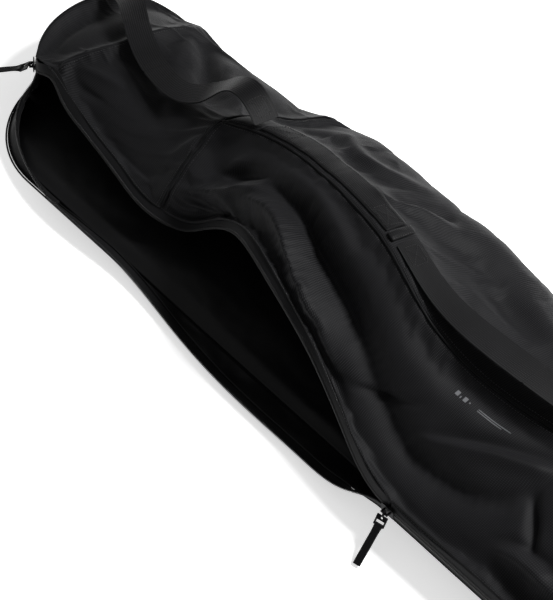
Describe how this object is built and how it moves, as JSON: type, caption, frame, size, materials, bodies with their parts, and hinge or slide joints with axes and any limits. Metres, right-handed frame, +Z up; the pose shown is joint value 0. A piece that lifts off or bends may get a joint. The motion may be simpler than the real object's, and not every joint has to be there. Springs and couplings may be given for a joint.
{
  "type": "snowboard bag",
  "caption": "Long padded snowboard bag lying flat, with its side zip part open, webbing handles along the ridge, and sliders with ribbon pulls.",
  "frame": {"origin": "middle of the flat underside that the bag lies on", "axes": "+X from the nose end towards the tail end, -Y towards the zip side, +Z up from the floor"},
  "size_m": [1.6978, 0.4445, 0.2164],
  "materials": {
    "outer_fabric": "matte ribbed polyester",
    "foam": "closed-cell foam",
    "lining": "smooth nylon lining",
    "zip_tape": "woven tape",
    "zip_coil": "nylon coil",
    "piping": "corded piping",
    "webbing": "ribbed polypropylene webbing",
    "ribbon": "cross-woven ribbon",
    "slider_metal": "black enamel",
    "link_metal": "gunmetal enamel",
    "print": "flat printed bars"
  },
  "bodies": {
    "base": {"base_lining": "lining", "base_padding": "foam", "base_piping": "piping", "bottom_panel": "outer_fabric", "far_wall": "outer_fabric", "lower_nose_coil": "zip_coil", "lower_nose_tape": "zip_tape", "lower_open_coil": "zip_coil", "lower_open_tape": "zip_tape", "lower_side_coil": "zip_coil", "lower_side_tape": "zip_tape", "lower_tail_coil": "zip_coil", "lower_tail_tape": "zip_tape", "nose_wall": "outer_fabric", "side_wall_closed": "outer_fabric", "side_wall_open": "outer_fabric", "tail_wall": "outer_fabric"},
    "cover": {"far_lining": "lining", "far_padding": "foam", "far_panel": "outer_fabric", "front_keeper": "webbing", "front_webbing": "webbing", "near_lining": "lining", "near_padding": "foam", "near_panel": "outer_fabric", "nose_gusset": "outer_fabric", "nose_lining": "lining", "nose_padding": "foam", "nose_panel": "outer_fabric", "nose_seam_piping": "piping", "printed_patch": "print", "rear_keeper": "webbing", "rear_webbing": "webbing", "ridge_piping": "piping", "tail_gusset": "outer_fabric", "tail_lining": "lining", "tail_padding": "foam", "tail_panel": "outer_fabric", "tail_seam_piping": "piping", "upper_nose_coil": "zip_coil", "upper_nose_tape": "zip_tape", "upper_open_coil": "zip_coil", "upper_open_tape": "zip_tape", "upper_side_coil": "zip_coil", "upper_side_tape": "zip_tape", "upper_tail_coil": "zip_coil", "upper_tail_tape": "zip_tape"},
    "carry_handle": {"carry_handle": "webbing"},
    "nose_handle": {"nose_handle": "webbing"},
    "nose_pull_link": {"nose_pull_link": "link_metal"},
    "nose_pull_ribbon": {"nose_pull_ribbon": "ribbon"},
    "nose_slider": {"nose_slider": "slider_metal"},
    "side_pull_link": {"side_pull_link": "link_metal"},
    "side_pull_ribbon": {"side_pull_ribbon": "ribbon"},
    "side_slider": {"side_slider": "slider_metal"},
    "tail_handle": {"tail_handle": "webbing"}
  },
  "joints": [
    {"name": "cover_open", "type": "hinge", "parent": "base", "child": "cover", "pos_m": [0, 0.178, 0.045], "axis": [-1, 0, 0], "range_deg": [0, 80]},
    {"name": "side_slider_travel", "type": "slide", "parent": "base", "child": "side_slider", "axis": [1, 0, 0], "range_m": [0, 0.58]},
    {"name": "nose_slider_travel", "type": "hinge", "parent": "base", "child": "nose_slider", "pos_m": [-0.705, 0.045, 0.076], "axis": [0, 0, -1], "range_deg": [0, 42]},
    {"name": "side_link_swing", "type": "hinge", "parent": "side_slider", "child": "side_pull_link", "pos_m": [0.085, -0.2059, 0.0467], "axis": [0.9781, 0.2079, 0], "range_deg": [-80, 30]},
    {"name": "side_ribbon_swing", "type": "hinge", "parent": "side_pull_link", "child": "side_pull_ribbon", "pos_m": [0.08733, -0.21686, 0.03425], "axis": [0.9781, 0.2079, 0], "range_deg": [-60, 40]},
    {"name": "nose_link_swing", "type": "hinge", "parent": "nose_slider", "child": "nose_pull_link", "pos_m": [-0.80071, -0.06906, 0.076], "axis": [0.5878, -0.809, 0], "range_deg": [-70, 25]},
    {"name": "nose_ribbon_swing", "type": "hinge", "parent": "nose_pull_link", "child": "nose_pull_ribbon", "pos_m": [-0.81195, -0.07723, 0.06663], "axis": [0.5878, -0.809, 0], "range_deg": [-60, 40]},
    {"name": "nose_handle_swing", "type": "hinge", "parent": "cover", "child": "nose_handle", "pos_m": [-0.628, 0.0955, 0.136], "axis": [-0.9621, 0.1712, -0.2124], "range_deg": [0, 45]},
    {"name": "carry_handle_swing", "type": "hinge", "parent": "cover", "child": "carry_handle", "pos_m": [0.11625, 0.03785, 0.17455], "axis": [-0.9975, -0.0309, 0.0642], "range_deg": [0, 45]},
    {"name": "tail_handle_swing", "type": "hinge", "parent": "cover", "child": "tail_handle", "pos_m": [0.6355, 0.049, 0.124], "axis": [-0.976, 0, 0.2179], "range_deg": [0, 45]}
  ]
}
